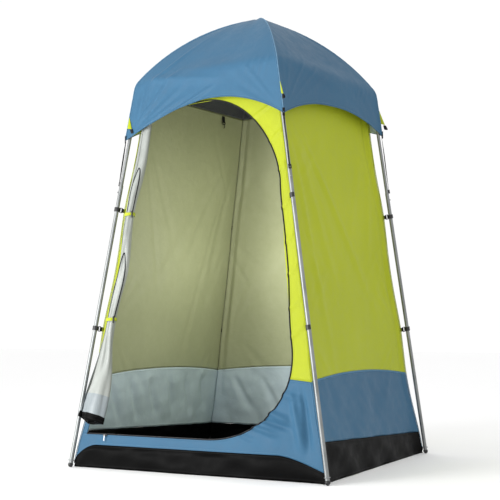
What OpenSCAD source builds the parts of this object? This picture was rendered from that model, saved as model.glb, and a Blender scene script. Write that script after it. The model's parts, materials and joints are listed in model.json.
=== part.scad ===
// Privacy shower tent: four splayed two-part legs, bent shoulders and two crossing
// roof rods carry a hung body tent with a D-shaped doorway and a lift-off rain fly.
// Millimetres, +Z up, origin on the ground under the apex, doorway towards -Y.

/* [Overall] */
// Height of the fly's peak above the ground
tent_height = 2200; // [2100:10:2260]
// Half the spacing of the feet, along each side of the plan
foot_half = 647; // [600:1:700]
// Half the spacing of the shoulders, along each side of the roof square
roof_half = 419; // [390:1:450]
// Height of the shoulders, where the legs meet the roof rods
shoulder_z = 1836; // [1800:1:1870]
// Turn of the roof square against the feet, as the flexible frame settles
roof_turn = -10; // [-12:0.5:0]

/* [Legs] */
// Outer diameter of the lower tubes
lower_tube_d = 19; // [18.5:0.1:19.5]
// Outer diameter of the upper tubes, which slide into the lower ones
upper_tube_d = 16; // [15.5:0.1:16.3]
// Wall thickness of both tubes
tube_wall = 1; // [0.8:0.05:1.1]
// Height at which the lower tubes end
splice_z = 1335; // [1320:5:1350]
// Length of upper tube inside the lower one
splice_overlap = 95; // [90:5:110]
// Height of the snap buttons
button_z = 1300; // [1295:1:1305]
// Diameter of the snap buttons
button_d = 7.6; // [7:0.1:8]

/* [Roof rods] */
// Diameter of the fibreglass rods
rod_d = 9.5; // [9:0.1:9.6]
// Diameter of the hole along the rods
rod_hole_d = 4.6; // [4:0.1:5]
// Height of the upper rod's centre at the crossing
rod_peak_z = 2184; // [2178:1:2184]
// Centre-to-centre step between the two rods where they cross
rod_step = 10.4; // [10:0.1:12]

/* [Body tent] */
// Distance of the wall corners inward from the leg centres
wall_inset = 38; // [34:1:42]
// Thickness of the wall panels
wall_t = 2; // [1.5:0.1:3]
// Top of the black skirt round the floor
skirt_z = 108; // [90:1:115]
// Seam between the lower and the upper wall colours
seam_z = 425; // [400:5:480]
// Top of the walls, where the net ceiling starts
wall_top_z = 1805; // [1780:1:1810]
// Height of the net ceiling's middle
ceiling_z = 2080; // [2000:5:2100]
// Height of the lower row of pole hooks
low_hook_z = 642; // [600:1:700]
// Height of the upper row of pole hooks
high_hook_z = 1216; // [1190:1:1230]

/* [Doorway] */
// Bottom of the D-shaped opening
door_z0 = 155; // [145:1:165]
// Top of the D-shaped opening
door_z1 = 1712; // [1690:1:1720]
// Width of wall left between the opening and the left corner
door_left = 26; // [22:1:34]
// Width of the zip tape
zip_w = 13; // [10:1:16]

/* [Rain fly] */
// Height of the fly's corner tips
tip_z = 1587; // [1570:1:1600]
// Height of the fly's hem halfway between two tips
hem_mid_z = 1696; // [1680:1:1710]
// Thickness of the fly
fly_t = 2; // [1.5:0.1:2.5]

/* [Hidden] */
CORNERS = ["front_right", "back_right", "back_left", "front_left"];
SIDES = ["right", "back", "left", "front"];
HOOK_ROWS = ["low", "high"];
$fn = 48;

// ---- colours ----
STEEL = [0.72, 0.73, 0.72];
BLACK = [0.06, 0.06, 0.07];
BLUE = [0.42, 0.60, 0.74];
GREEN = [0.78, 0.84, 0.30];
SILVER = [0.78, 0.79, 0.78];
GLASS = [0.20, 0.21, 0.24];

// ---- plan geometry: corner 0 is front right, the others are quarter turns of it ----
function turned(p, a) = [p.x * cos(a) - p.y * sin(a), p.x * sin(a) + p.y * cos(a)];
function unit(v) = v / norm(v);
function mix(a, b, t) = a + (b - a) * t;

foot_0 = [foot_half, -foot_half];
head_0 = turned([roof_half, -roof_half], roof_turn);
leg_dir = unit([head_0.x - foot_0.x, head_0.y - foot_0.y, shoulder_z]);

// centre of leg k at height z, in plan, and moved outward from the tent's axis by off
function leg_xy(k, z, off = 0) =
    let (p = mix(foot_0, head_0, z / shoulder_z)) turned(p + unit(p) * off, 90 * k);
function leg_point(k, z, off = 0) = let (p = leg_xy(k, z, off)) [p.x, p.y, z];

// point on the ruled wall between corners k and k+1, a share s of the way
function wall_point(k, s, z, off = 0) =
    mix(leg_point(k, z, off - wall_inset), leg_point(k + 1, z, off - wall_inset), s);
function wall_width(k, z) = norm(leg_xy(k + 1, z, -wall_inset) - leg_xy(k, z, -wall_inset));

// ---- frames of reference ----
// places children with +Z up the leg, +X away from the tent and the origin on the leg's axis
module on_leg(k, z) {
    out = leg_point(0, z, 1) - leg_point(0, z);
    x = unit(out - (out * leg_dir) * leg_dir);
    y = cross(leg_dir, x);
    p = leg_point(0, z);
    rotate([0, 0, 90 * k])
        multmatrix([[x.x, y.x, leg_dir.x, p.x],
                    [x.y, y.y, leg_dir.y, p.y],
                    [x.z, y.z, leg_dir.z, p.z],
                    [0, 0, 0, 1]])
            children();
}
function leg_length(z0, z1) = (z1 - z0) / leg_dir.z;

module tube(d_out, d_in, h) {
    difference() {
        cylinder(d = d_out, h = h);
        translate([0, 0, -1])
            cylinder(d = d_in, h = h + 2);
    }
}

// ---- thin grids: a closed solid between an outer and an inner sheet of points ----
module grid_solid(outer, inner) {
    rows = len(outer);
    cols = len(outer[0]);
    points = concat([for (row = outer) for (p = row) p], [for (row = inner) for (p = row) p]);
    function o(i, j) = i * cols + j;
    function n(i, j) = rows * cols + i * cols + j;
    faces = concat(
        [for (i = [0:rows - 2]) for (j = [0:cols - 2]) each [
            [o(i, j), o(i + 1, j), o(i + 1, j + 1)], [o(i, j), o(i + 1, j + 1), o(i, j + 1)],
            [n(i, j), n(i + 1, j + 1), n(i + 1, j)], [n(i, j), n(i, j + 1), n(i + 1, j + 1)]]],
        [for (j = [0:cols - 2]) let (t = rows - 1) each [
            [o(0, j), o(0, j + 1), n(0, j + 1)], [o(0, j), n(0, j + 1), n(0, j)],
            [o(t, j + 1), o(t, j), n(t, j)], [o(t, j + 1), n(t, j), n(t, j + 1)]]],
        [for (i = [0:rows - 2]) let (t = cols - 1) each [
            [o(i + 1, 0), o(i, 0), n(i, 0)], [o(i + 1, 0), n(i, 0), n(i + 1, 0)],
            [o(i, t), o(i + 1, t), n(i + 1, t)], [o(i, t), n(i + 1, t), n(i, t)]]]);
    polyhedron(points, faces, convexity = 4);
}
function steps(a, b, n) = [for (i = [0:n]) mix(a, b, i / n)];

// ---- legs ----
foot_cap_r = 12;
leg_start_z = foot_cap_r + 2;
cap_fit = 0.15;

module button_hole(k) {
    on_leg(k, button_z)
        rotate([0, 90, 0])
            cylinder(d = button_d + 0.8, h = lower_tube_d);
}
module lower_leg(k) {
    start_z = leg_start_z;
    color(STEEL)
        difference() {
            on_leg(k, start_z)
                tube(lower_tube_d, lower_tube_d - 2 * tube_wall, leg_length(start_z, splice_z));
            button_hole(k);
        }
}

elbow_reach = 34;
elbow_socket = 46;

module upper_leg(k) {
    start_z = splice_z - splice_overlap;
    color(STEEL)
        difference() {
            on_leg(k, start_z)
                tube(upper_tube_d, upper_tube_d - 2 * tube_wall,
                     leg_length(start_z, shoulder_z) - elbow_reach - 4);
            button_hole(k);
        }
}

module foot_caps() {
    color(BLACK)
        for (k = [0:3])
            difference() {
                translate(leg_point(k, foot_cap_r))
                    sphere(r = foot_cap_r, $fn = 48);
                on_leg(k, leg_start_z - cap_fit)
                    cylinder(d = lower_tube_d + 2 * cap_fit, h = foot_cap_r);
            }
}

// steel ring round each leg, just above its cap, that the corner webbing is sewn to
ring_z = 31;
ring_r = 12.5;
ring_wire_r = 1.75;

module ring_torus(extra = 0) {
    rotate_extrude()
        translate([ring_r, 0])
            circle(r = ring_wire_r + extra, $fn = 24);
}
module foot_rings() {
    color(STEEL)
        for (k = [0:3])
            on_leg(k, ring_z)
                ring_torus();
}
module foot_webbing() {
    color(BLACK)
        for (k = [0:3])
            on_leg(k, ring_z)
                difference() {
                    translate([-wall_inset - 6, -0.8, -10])
                        cube([wall_inset - 4, 1.6, 20]);
                    ring_torus(0.4);
                    translate([-3, 0, -20])
                        cylinder(r = lower_tube_d / 2 + 0.6, h = 40);
                }
}

// ---- snap buttons: each is riveted to the free arm of a V spring inside the upper tube ----
button_inner_x = 5.2;
spring_t = 0.7;
spring_w = 5;

module snap_button(k) {
    button_out = 4.2;
    color(STEEL)
        on_leg(k, button_z) {
            translate([button_inner_x, 0, 0])
                rotate([0, 90, 0])
                    cylinder(d = button_d, h = lower_tube_d / 2 + button_out - button_inner_x - 1);
            translate([lower_tube_d / 2 + button_out - 1, 0, 0])
                rotate([0, 90, 0])
                    cylinder(d1 = button_d, d2 = button_d - 2, h = 1);
            translate([button_inner_x - spring_t, -spring_w / 2, -button_d / 2])
                cube([spring_t, spring_w, 26]);
        }
}
module button_springs() {
    color(STEEL)
        for (k = [0:3])
            on_leg(k, button_z)
                translate([-5.6, -spring_w / 2, 0]) {
                    translate([0, 0, -button_d / 2])
                        cube([spring_t, spring_w, 31]);
                    translate([0, 0, 31 - button_d / 2])
                        cube([10, spring_w, spring_t]);
                }
}

// ---- roof: in each rod's upright plane, a long side arc runs into a short arc at the peak ----
shoulder_r = norm(head_0);
peak_bend_r = 200;
peak_bend = 13.5;

function peak_end(z) = [peak_bend_r * sin(peak_bend), z - peak_bend_r * (1 - cos(peak_bend))];
// angle below the horizontal of the side arc's chord, for a peak at height z
function chord_fall(z) = let (j = peak_end(z)) atan2(j.y - shoulder_z, shoulder_r - j.x);
function side_r(z) = let (j = peak_end(z))
    norm([shoulder_r - j.x, shoulder_z - j.y]) / 2 / sin(chord_fall(z) - peak_bend);
function side_centre(z) = let (j = peak_end(z)) j - side_r(z) * [sin(peak_bend), cos(peak_bend)];
function end_fall(z) = 2 * chord_fall(z) - peak_bend;
// point a share t down the side arc, moved outward by off: [distance from the axis, height]
function ridge(z, t, off = 0) = let (a = mix(peak_bend, end_fall(z), t))
    side_centre(z) + (side_r(z) + off) * [sin(a), cos(a)];

rod_z = [rod_peak_z - rod_step, rod_peak_z];

// a round bar of radius r along one half of a rod, cut between two shares of its side arc
module side_arc(z, r, t0 = 0, t1 = 1) {
    c = side_centre(z);
    a0 = mix(peak_bend, end_fall(z), t0);
    a1 = mix(peak_bend, end_fall(z), t1);
    translate([c.x, 0, c.y])
        rotate([90, 0, 0])
            rotate([0, 0, 90 - a1])
                rotate_extrude(angle = a1 - a0, $fn = 96)
                    translate([side_r(z), 0])
                        circle(r = r, $fn = 24);
}
module peak_arc(z, r, trim = 0) {
    translate([0, 0, z - peak_bend_r])
        rotate([90, 0, 0])
            rotate([0, 0, 90 - peak_bend + trim])
                rotate_extrude(angle = 2 * (peak_bend - trim), $fn = 96)
                    translate([peak_bend_r, 0])
                        circle(r = r, $fn = 24);
}
// rod i runs over corners i and i + 2
module in_rod_plane(i, half = 0) {
    rotate([0, 0, atan2(head_0.y, head_0.x) + 90 * i + 180 * half])
        children();
}
// each rod comes apart into five sections, which meet inside ferrules
rod_end = 0.94;
rod_cut = 0.001;
rod_sections = [[rod_cut, 0.54 - rod_cut], [0.54, rod_end]];

module roof_rod(i) {
    color(GLASS) {
        in_rod_plane(i)
            difference() {
                peak_arc(rod_z[i], rod_d / 2);
                peak_arc(rod_z[i], rod_hole_d / 2, -1);
            }
        for (half = [0, 1])
            for (part = rod_sections)
                in_rod_plane(i, half)
                    difference() {
                        side_arc(rod_z[i], rod_d / 2, part[0], part[1]);
                        side_arc(rod_z[i], rod_hole_d / 2, part[0] - 0.02, part[1] + 0.02);
                    }
    }
}
module rod_shock_cords() {
    color(SILVER)
        for (i = [0, 1])
            for (half = [0, 1])
                in_rod_plane(i, half)
                    side_arc(rod_z[i], rod_hole_d / 2 - 1, 0.01, rod_end - 0.01);
}
module rod_ferrules() {
    clearance = 0.1;
    ferrule_wall = 1;
    color(STEEL)
        for (i = [0, 1])
            for (half = [0, 1])
                in_rod_plane(i, half)
                    difference() {
                        side_arc(rod_z[i], rod_d / 2 + clearance + ferrule_wall, 0.5, 0.58);
                        side_arc(rod_z[i], rod_d / 2 + clearance, 0.45, 0.63);
                    }
}
module apex_clip() {
    color(BLACK)
        difference() {
            translate([0, 0, rod_z[0] - 13])
                cylinder(r = 17, h = rod_step + 17);
            for (i = [0, 1])
                in_rod_plane(i)
                    peak_arc(rod_z[i], rod_d / 2 + 0.3);
        }
}

// bent sleeve at each shoulder: it swallows the leg's top and the rod's end
elbow_r = 10.2;

module elbow(k) {
    z = rod_z[k % 2];
    fall = end_fall(z);
    inward = -unit([head_0.x, head_0.y]);
    rod_dir = [inward.x * cos(fall), inward.y * cos(fall), sin(fall)];
    turn = acos(leg_dir * rod_dir);
    bend_r = elbow_reach / tan(turn / 2);
    y = unit(cross(leg_dir, rod_dir));
    x = cross(y, leg_dir);
    head = [head_0.x, head_0.y, shoulder_z];
    rotate([0, 0, 90 * k])
        multmatrix([[x.x, y.x, leg_dir.x, head.x],
                    [x.y, y.y, leg_dir.y, head.y],
                    [x.z, y.z, leg_dir.z, head.z],
                    [0, 0, 0, 1]]) {
            // the bend lies in the local X-Z plane and turns from +Z towards +X; each sleeve
            // runs a little past the end of the thinner bend, so the three join solidly
            difference() {
                union() {
                    translate([0, 0, -elbow_reach - elbow_socket])
                        cylinder(r = elbow_r, h = elbow_socket + 3);
                    translate([bend_r, 0, -elbow_reach])
                        rotate([90, 0, 0])
                            rotate([0, 0, 180 - turn])
                                rotate_extrude(angle = turn, $fn = 96)
                                    translate([bend_r, 0])
                                        circle(r = elbow_r - 1, $fn = 32);
                    rotate([0, turn, 0])
                        translate([0, 0, elbow_reach - 3])
                            cylinder(r = elbow_r, h = 37);
                }
                translate([0, 0, -elbow_reach - elbow_socket - 1])
                    cylinder(d = upper_tube_d + 0.4, h = elbow_socket);
            }
        }
}
// the socket for the rod follows the rod's own arc
module shoulder_elbows() {
    socket_fit = 0.35;
    color(BLACK)
        for (k = [0:3])
            difference() {
                elbow(k);
                in_rod_plane(k % 2, floor(k / 2))
                    side_arc(rod_z[k % 2], rod_d / 2 + socket_fit, 0.86, rod_end + 0.004);
            }
}

// ---- pole hooks: a J that wraps the outside of the leg and turns about its webbing bar;
// the same moulding hangs the other way up on the two right-hand legs ----
hook_inner_r = 10.5;
hook_outer_r = 13.7;
hook_bar_x = -24;
hook_bar_r = 1.5;
hook_slot = 20.6;
hook_h = 20;

module hook_outline() {
    lip = -20;
    polygon(concat([for (a = [lip:10:180]) hook_outer_r * [cos(a), sin(a)]],
                   [for (a = [180:-10:lip]) hook_inner_r * [cos(a), sin(a)]]));
}
module pole_hook(k, z) {
    cheek = 2.4;
    yoke_h = hook_slot + 2 * cheek;
    flipped = k < 2 ? 180 : 0;
    color(BLACK)
        on_leg(k, z)
            rotate([flipped, 0, 0]) {
                translate([0, 0, -hook_h / 2])
                    linear_extrude(hook_h)
                        hook_outline();
                translate([-hook_outer_r - 3, -2, -yoke_h / 2])
                    cube([3.6, 5, yoke_h]);
                for (s = [-1, 1])
                    translate([hook_bar_x, -2, s * (hook_slot + cheek) / 2 - cheek / 2])
                        cube([8, 4, cheek]);
                translate([hook_bar_x, 0, -yoke_h / 2])
                    cylinder(r = hook_bar_r, h = yoke_h, $fn = 24);
            }
}
// webbing at every hook: a sewn loop round the bar and a tail that runs into the corner seam
module hook_webbing() {
    loop_wall = 1.4;
    loop_r = hook_bar_r + 0.4 + loop_wall;
    color(BLACK)
        for (k = [0:3])
            for (z = [low_hook_z, high_hook_z])
                on_leg(k, z)
                    translate([0, 0, -10])
                        difference() {
                            union() {
                                translate([hook_bar_x, 0, 0])
                                    cylinder(r = loop_r, h = 20, $fn = 32);
                                translate([-wall_inset - 6, -0.8, 0])
                                    cube([wall_inset + 6 + hook_bar_x - loop_r + 1, 1.6, 20]);
                            }
                            translate([hook_bar_x, 0, -1])
                                cylinder(r = hook_bar_r + 0.4, h = 22, $fn = 32);
                        }
}

// ---- body tent ----
// the corner seam stays open by this share of the width, for the webbing that is sewn into it
seam_gap = 0.0025;

// part of the wall from corner k: rows of [z, share where it starts, share where it ends]
module wall_strip(k, rows, cols = 6, t = wall_t, off = 0) {
    outer = [for (r = rows) [for (s = steps(r[1], r[2], cols)) wall_point(k, s, r[0], off)]];
    inner = [for (r = rows) [for (s = steps(r[1], r[2], cols)) wall_point(k, s, r[0], off - t * sqrt(2))]];
    grid_solid(outer, inner);
}
module whole_strip(k, z0, z1, n) {
    wall_strip(k, [for (z = steps(z0, z1, n)) [z, seam_gap, 1 - seam_gap]]);
}
panel_gap = 0.6;

module floor_sheet() {
    color(BLACK)
        linear_extrude(2)
            polygon([for (k = [0:3]) leg_xy(k, 0, -wall_inset)]);
}
module floor_skirt() {
    color(BLACK)
        for (k = [0:3])
            whole_strip(k, 2, skirt_z, 1);
}
module wall_lower(k) {
    color(BLUE)
        whole_strip(k, skirt_z + panel_gap, seam_z, 2);
}
module wall_upper(k) {
    color(GREEN)
        whole_strip(k, seam_z + panel_gap, wall_top_z, 6);
}

// doorway outline: width of wall left beside the opening, measured from the right corner.
// Quarter ellipses round its lower and upper right, with a nearly straight run between them.
door_low_z = 560;
door_high_z = 1300;
margin_low = 78;
margin_high = 42;
door_low_a = 480;
door_high_a = 375;

function quarter(u) = 1 - sqrt(max(0, 1 - u * u));
function door_margin(z) =
    z < door_low_z ? margin_low + door_low_a * quarter((door_low_z - z) / (door_low_z - door_z0)) :
    z > door_high_z ? margin_high + door_high_a * quarter((z - door_high_z) / (door_z1 - door_high_z)) :
    mix(margin_low, margin_high, (z - door_low_z) / (door_high_z - door_low_z));
function door_right(z) = 1 - door_margin(z) / wall_width(3, z);
function door_left_share(z) = door_left / wall_width(3, z);

// heights that follow the outline closely where it turns
function bottom_heights(z1) =
    [for (a = [0:15:90]) let (z = door_low_z - (door_low_z - door_z0) * cos(a)) if (z < z1) z];
function top_heights() =
    [for (a = [0:15:90]) door_high_z + (door_z1 - door_high_z) * sin(a)];

module front_wall_sill() {
    color(BLUE)
        whole_strip(3, skirt_z + panel_gap, door_z0 - panel_gap, 1);
}
module front_wall_lower() {
    color(BLUE)
        wall_strip(3, [for (z = concat(bottom_heights(seam_z), [seam_z])) [z, door_right(z), 1 - seam_gap]]);
}
module front_wall_upper() {
    heights = concat([seam_z + panel_gap, door_low_z, mix(door_low_z, door_high_z, 0.5)], top_heights());
    color(GREEN)
        wall_strip(3, [for (z = heights) [z, door_right(z), 1 - seam_gap]]);
}
// the band over the doorway and the narrow strip at its hinge side
module front_wall_edging() {
    color(GREEN) {
        whole_strip(3, door_z1 + panel_gap, wall_top_z, 1);
        wall_strip(3, [for (z = steps(door_z0, door_z1, 6)) [z, seam_gap, door_left_share(z)]], 1);
    }
}

// zip tape: a band on the wall's outer face that follows the doorway
zip_t = 1.2;
zip_gap = 0.4;
function zip_heights() = concat(bottom_heights(door_low_z), [mix(door_low_z, door_high_z, 0.5)], top_heights());
function edge_point(z, grow, off) =
    wall_point(3, door_right(z) + grow / wall_width(3, z), z, off);
module zip_track() {
    color(BLACK) {
        // round the curved side
        grid_solid(
            [for (z = zip_heights()) [for (g = [0, zip_w]) edge_point(z, g, zip_gap + zip_t * sqrt(2))]],
            [for (z = zip_heights()) [for (g = [0, zip_w]) edge_point(z, g, zip_gap)]]);
        // along the straight bottom
        wall_strip(3, [for (z = [door_z0 - zip_w, door_z0]) [z, door_left_share(z), door_right(door_z0)]],
                   4, zip_t, zip_gap + zip_t * sqrt(2));
    }
}

// direction along the bottom of the doorway, and the wall's slope there
sill_a = wall_point(3, 0, door_z0 - zip_w / 2);
sill_b = wall_point(3, 1, door_z0 - zip_w / 2);
sill_dir = unit(sill_b - sill_a);
sill_up = unit(wall_point(3, 0.2, door_z0) - wall_point(3, 0.2, door_z0 - zip_w));
// places children at a share s along the sill: +X along it, +Z up the wall, -Y out of the wall
module on_sill(s, lift) {
    x = sill_dir;
    y = unit(cross(sill_up, x));
    z = cross(x, y);
    p = mix(sill_a, sill_b, s) - y * lift;
    multmatrix([[x.x, y.x, z.x, p.x],
                [x.y, y.y, z.y, p.y],
                [x.z, y.z, z.z, p.z],
                [0, 0, 0, 1]])
        children();
}
slider_s = 0.1;
slider_lift = 3;
pull_bar_y = -5.7;
pull_bar_r = 0.9;

module zip_slider() {
    color(BLACK)
        on_sill(slider_s, slider_lift) {
            hull()
                for (x = [-5, 5])
                    translate([x, 0, 0])
                        rotate([90, 0, 0])
                            cylinder(r = 4.5, h = 3, $fn = 32);
            for (x = [-4.2, 2.6])
                translate([x, pull_bar_y - 1.4, -1.6])
                    cube([1.6, 4.2, 3.2]);
            translate([-4.2, pull_bar_y, 0])
                rotate([0, 90, 0])
                    cylinder(r = pull_bar_r, h = 8.4, $fn = 24);
        }
}
module zip_pull() {
    eye = 2.3;
    color(STEEL)
        on_sill(slider_s, slider_lift)
            difference() {
                union() {
                    translate([-2.1, pull_bar_y, 0])
                        rotate([0, 90, 0])
                            cylinder(r = eye, h = 4.2, $fn = 32);
                    translate([-2.1, pull_bar_y - 0.7, -26])
                        cube([4.2, 1.4, 26 - eye + 0.3]);
                }
                translate([-5, pull_bar_y, 0])
                    rotate([0, 90, 0])
                        cylinder(r = pull_bar_r + 0.3, h = 10, $fn = 24);
            }
}

// ---- rolled-back door: a slack bundle beside the hinge side, nipped at its two ties ----
tie_z = [682, 1186];
bundle_z0 = 172;
bundle_z1 = 1630;
bundle_in = 74;
bundle_off = 30;
tie_r = 25;

function nip(z, at) = exp(-pow((z - at) / 70, 2));
function bundle_r(z) =
    let (full = mix(37, 18, (z - bundle_z0) / (bundle_z1 - bundle_z0)))
    full - (full - 20) * max(nip(z, tie_z[0]), nip(z, tie_z[1]));
function bundle_centre(z) = wall_point(3, bundle_in / wall_width(3, z), z, bundle_off);

module door_bundle() {
    sides = 14;
    heights = concat(steps(bundle_z0, tie_z[0], 6), [for (i = [1:6]) mix(tie_z[0], tie_z[1], i / 6)],
                     [for (i = [1:6]) mix(tie_z[1], bundle_z1, i / 6)]);
    rings = len(heights);
    points = [for (z = heights) for (i = [0:sides - 1])
        bundle_centre(z) + bundle_r(z) * [cos(360 * i / sides), 0.8 * sin(360 * i / sides), 0]];
    walls = [for (j = [0:rings - 2]) for (i = [0:sides - 1]) let (n = (i + 1) % sides) each [
        [j * sides + i, (j + 1) * sides + i, (j + 1) * sides + n],
        [j * sides + i, (j + 1) * sides + n, j * sides + n]]];
    color(SILVER)
        polyhedron(points, concat(walls, [[for (i = [0:sides - 1]) i]],
                                  [[for (i = [sides - 1:-1:0]) (rings - 1) * sides + i]]));
}
module on_tie(i) {
    translate(bundle_centre(tie_z[i]))
        children();
}
module door_ties() {
    tie_h = 15;
    color(GREEN)
        for (i = [0, 1])
            on_tie(i)
                translate([0, 0, -tie_h / 2])
                    tube(2 * tie_r, 2 * tie_r - 2.4, tie_h);
}
toggle_y = -tie_r - 6;
toggle_side = 50;
module door_toggle(i) {
    color(BLACK)
        on_tie(i)
            rotate([0, 0, toggle_side])
                translate([0, toggle_y, -16]) {
                cylinder(r = 4, h = 32, $fn = 24);
                translate([0, 0, 16])
                    rotate([-90, 0, 0])
                        cylinder(r = 1.6, h = 5.6, $fn = 24);
            }
}

// ---- ceiling ----
// four flat gores of net, a hair clear of each other along their ridges
module net_ceiling() {
    t = 3;
    z0 = wall_top_z + panel_gap + t;
    color(BLACK)
        for (k = [0:3]) {
            base = [for (s = [seam_gap, 1 - seam_gap]) wall_point(k, s, z0)];
            peak = [0, 0, ceiling_z] + 2 * unit([base[0].x + base[1].x, base[0].y + base[1].y, 0]);
            top = concat(base, [peak]);
            low = [for (p = top) p - [0, 0, t]];
            polyhedron(concat(top, low), [[0, 2, 1], [3, 4, 5], [0, 1, 4, 3], [1, 2, 5, 4], [2, 0, 3, 5]]);
        }
}
// strap from the net's middle to the apex clip, and the loop of a small hook that is
// sewn inside the top of the left wall near the back corner
loop_p = wall_point(2, 0.22, wall_top_z - 12, -6);
module ceiling_webbing() {
    color(BLACK) {
        translate([-8, -0.8, ceiling_z + 1])
            cube([16, 1.6, rod_z[0] - 14 - ceiling_z]);
        translate(loop_p)
            rotate([0, 0, roof_turn]) {
                translate([0.4, -11, -30])
                    cube([1.4, 22, 30]);
                translate([1.1, -11, -32])
                    rotate([-90, 0, 0])
                        tube(6.4, 3.8, 22);
            }
    }
}
module hanging_hook() {
    drop = 34;
    color(BLACK)
        translate(loop_p)
            rotate([0, 0, roof_turn])
                translate([1.1, 0, -32]) {
                    translate([0, -15, 0])
                        rotate([-90, 0, 0])
                            cylinder(r = 1.6, h = 30, $fn = 24);
                    for (s = [-1, 1])
                        translate([-1.2, s * 13 - 1.5, -9])
                            cube([2.4, 3, 9]);
                    translate([-1.2, -14.5, -11])
                        cube([2.4, 29, 3]);
                    translate([1.2, 0, -drop / 2 - 4])
                        rotate([0, -90, 0])
                            rotate([0, 0, -60])
                                rotate_extrude(angle = 240, $fn = 48)
                                    translate([10, 0])
                                        translate([-1.4, 0])
                                            square([2.8, 2.4]);
                }
}

// ---- rain fly ----
ridge_off_top = tent_height - rod_peak_z;
ridge_off_low = 22;
fly_rows = 8;
fly_cols = 8;

// outer ridge of corner k: share t runs from 0 at the peak to 1 at the shoulder
function fly_ridge(k, t, off) =
    let (q = ridge(rod_peak_z, t, mix(ridge_off_top, ridge_off_low, t) - off),
         p = turned(unit(head_0) * max(q.x, 0), 90 * k))
    [p.x, p.y, q.y];
// the ridges end a hair from the axis, under the peak
function fly_peak(k, off) = let (p = turned(unit(head_0) * 2, 90 * k)) [p.x, p.y, tent_height - off];
function fly_corner(k, z, off) = leg_point(k, z, ridge_off_low - off);
function hem_z(s) = tip_z + (hem_mid_z - tip_z) * (1 - pow(abs(2 * s - 1), 2.2));

// the eave sits where the ridge passes from the roof arc to the leg's line
function eave_z() = fly_ridge(0, 1, 0).z;
function fly_grid(k, off) = concat(
    [for (i = [fly_rows:-1:0]) let (v = i / fly_rows)
        [for (s = steps(0, 1, fly_cols))
            let (z = mix(hem_z(s), eave_z(), 1 - v))
            mix(fly_corner(k, z, off), fly_corner(k + 1, z, off), s)]],
    [for (i = [1:fly_rows]) let (t = 1 - i / fly_rows)
        [for (s = steps(0, 1, fly_cols)) mix(fly_ridge(k, t, off), fly_ridge(k + 1, t, off), s)]],
    [[for (s = steps(0, 1, fly_cols)) mix(fly_peak(k, off), fly_peak(k + 1, off), s)]]);

module fly_gore(k) {
    color(BLUE)
        grid_solid(fly_grid(k, 0), fly_grid(k, fly_t * sqrt(2)));
}

// a place on the fly's corner line: +X away from the tent, +Y along the corner's tangent
module on_fly_corner(k, z, off) {
    p = leg_point(0, z, off);
    rotate([0, 0, 90 * k])
        translate(p)
            rotate([0, 0, atan2(p.y, p.x)])
                children();
}
tab_z = [1652, 1742];
tab_reach = 26;

module fly_guy_tabs() {
    lean = (norm(leg_xy(0, tab_z[0])) - norm(leg_xy(0, tab_z[1])));
    color(GREEN)
        for (k = [0:3])
            on_fly_corner(k, tab_z[0], ridge_off_low + 1.2)
                rotate([90, 0, 0])
                    translate([0, 0, -0.75])
                        linear_extrude(1.5)
                            polygon([[0, 0], [tab_reach, -8], [tab_reach, 8],
                                     [-lean, tab_z[1] - tab_z[0]]]);
}
strap_z = [1352, 1584];

module fly_webbing() {
    strap_l = leg_length(strap_z[0], strap_z[1]);
    color(BLACK)
        for (k = [0:3]) {
            // loop at the outer end of the guy tab
            on_fly_corner(k, tab_z[0], ridge_off_low + 1.2)
                translate([tab_reach - 6, -5, -32])
                    difference() {
                        cube([5, 10, 23]);
                        translate([1.4, -1, 1.4])
                            cube([2.2, 12, 19]);
                    }
            // tension strap below the fly's tip
            on_leg(k, strap_z[0])
                rotate([90, 0, 0])
                    translate([0, 0, -5])
                        linear_extrude(10)
                            polygon([[11.5, 0], [13.1, 0], [18.6, strap_l], [17, strap_l]]);
        }
}
module fly_strap_hooks() {
    color(BLACK)
        for (k = [0:3])
            on_leg(k, strap_z[0] - 20)
                translate([10.1, 0, 0])
                    difference() {
                        translate([0, -7, 0])
                            cube([4.6, 14, 19.4]);
                        translate([-1, -4, 4])
                            cube([7, 8, 8]);
                    }
}

// ---- nodes ----
for (k = [0:3]) {
    lower_leg(k);
    upper_leg(k);
    snap_button(k);
    pole_hook(k, low_hook_z);
    pole_hook(k, high_hook_z);
    fly_gore(k);
}
for (k = [0:2]) {
    wall_lower(k);
    wall_upper(k);
}
shoulder_elbows();
roof_rod(0);  // roof_rod_low
roof_rod(1);  // roof_rod_high
rod_ferrules();
rod_shock_cords();
apex_clip();
foot_caps();
foot_rings();
foot_webbing();
button_springs();
hook_webbing();
floor_sheet();
floor_skirt();
front_wall_sill();
front_wall_lower();
front_wall_upper();
front_wall_edging();
zip_track();
zip_slider();
zip_pull();
door_bundle();
door_ties();
door_toggle(0);  // door_toggle_low
door_toggle(1);  // door_toggle_high
net_ceiling();
ceiling_webbing();
hanging_hook();
fly_guy_tabs();
fly_webbing();
fly_strap_hooks();
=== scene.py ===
"""Looks of the privacy shower tent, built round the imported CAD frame.

Every cloth piece is a fine grid on the frame's own ruled surfaces, pushed in and out by sag,
tension folds and small ripples, then given two faces: the coated inside and the woven outside.
"""

import json
import math

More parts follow.
